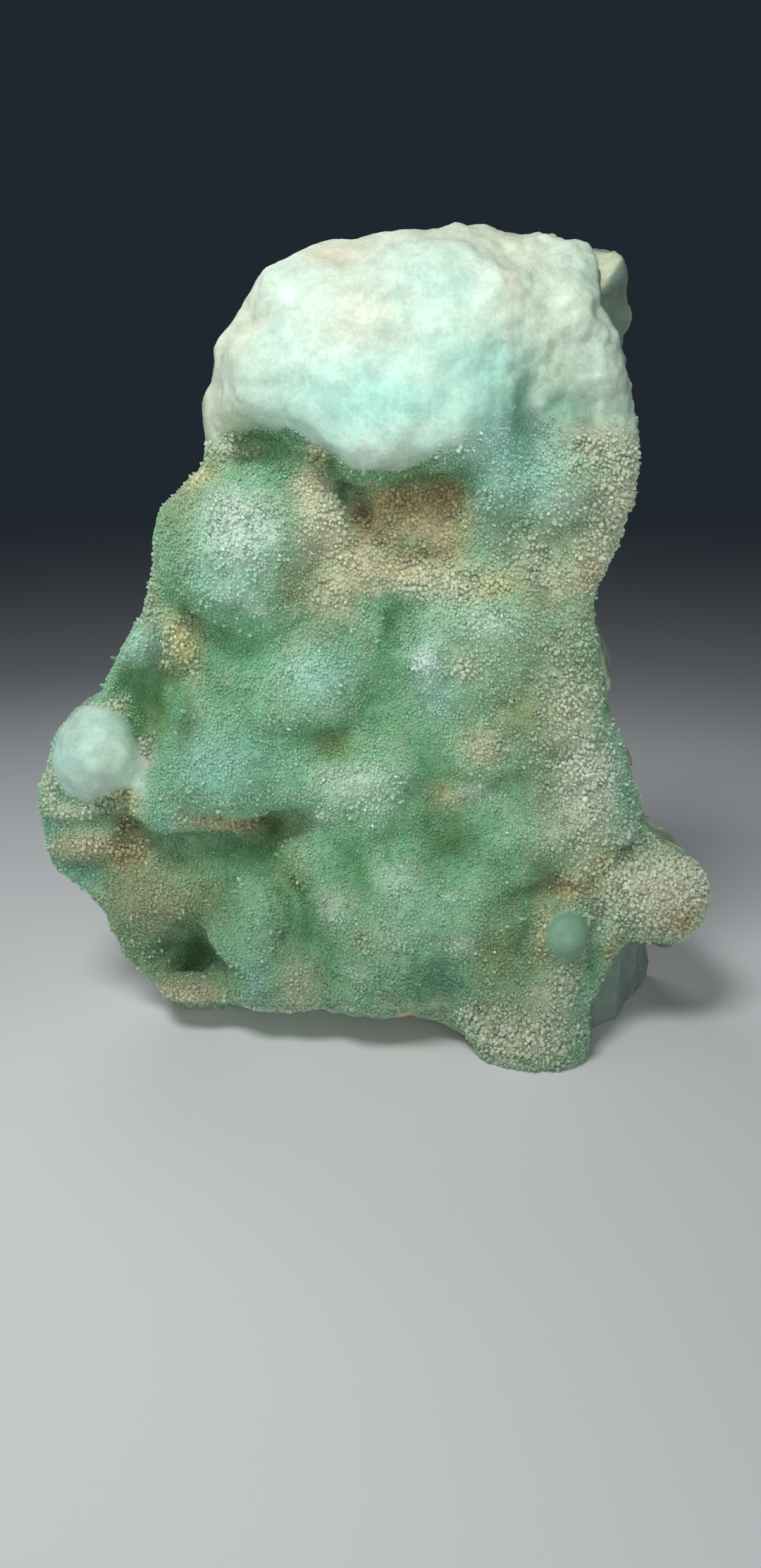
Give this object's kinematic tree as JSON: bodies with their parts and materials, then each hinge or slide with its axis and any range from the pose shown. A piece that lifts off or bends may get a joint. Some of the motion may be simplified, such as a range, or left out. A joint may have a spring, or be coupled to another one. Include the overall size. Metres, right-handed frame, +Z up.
{
  "type": "aragonite specimen",
  "caption": "Standing mineral specimen: a druzy blue-green crust of fused rounded bosses over broken rock, flat where it stands.",
  "frame": {"origin": "centre of the flat base's box, where the specimen stands", "axes": "+Z up, +X to the viewer's right, -Y towards the viewer, the way the crystal crust faces"},
  "size_m": [0.1378, 0.0666, 0.157],
  "materials": {
    "aragonite": "translucent waxy blue-green, sugary crystals over rounded bosses, cream and brown stains"
  },
  "bodies": {
    "root": {"aragonite": "aragonite"}
  },
  "joints": []
}
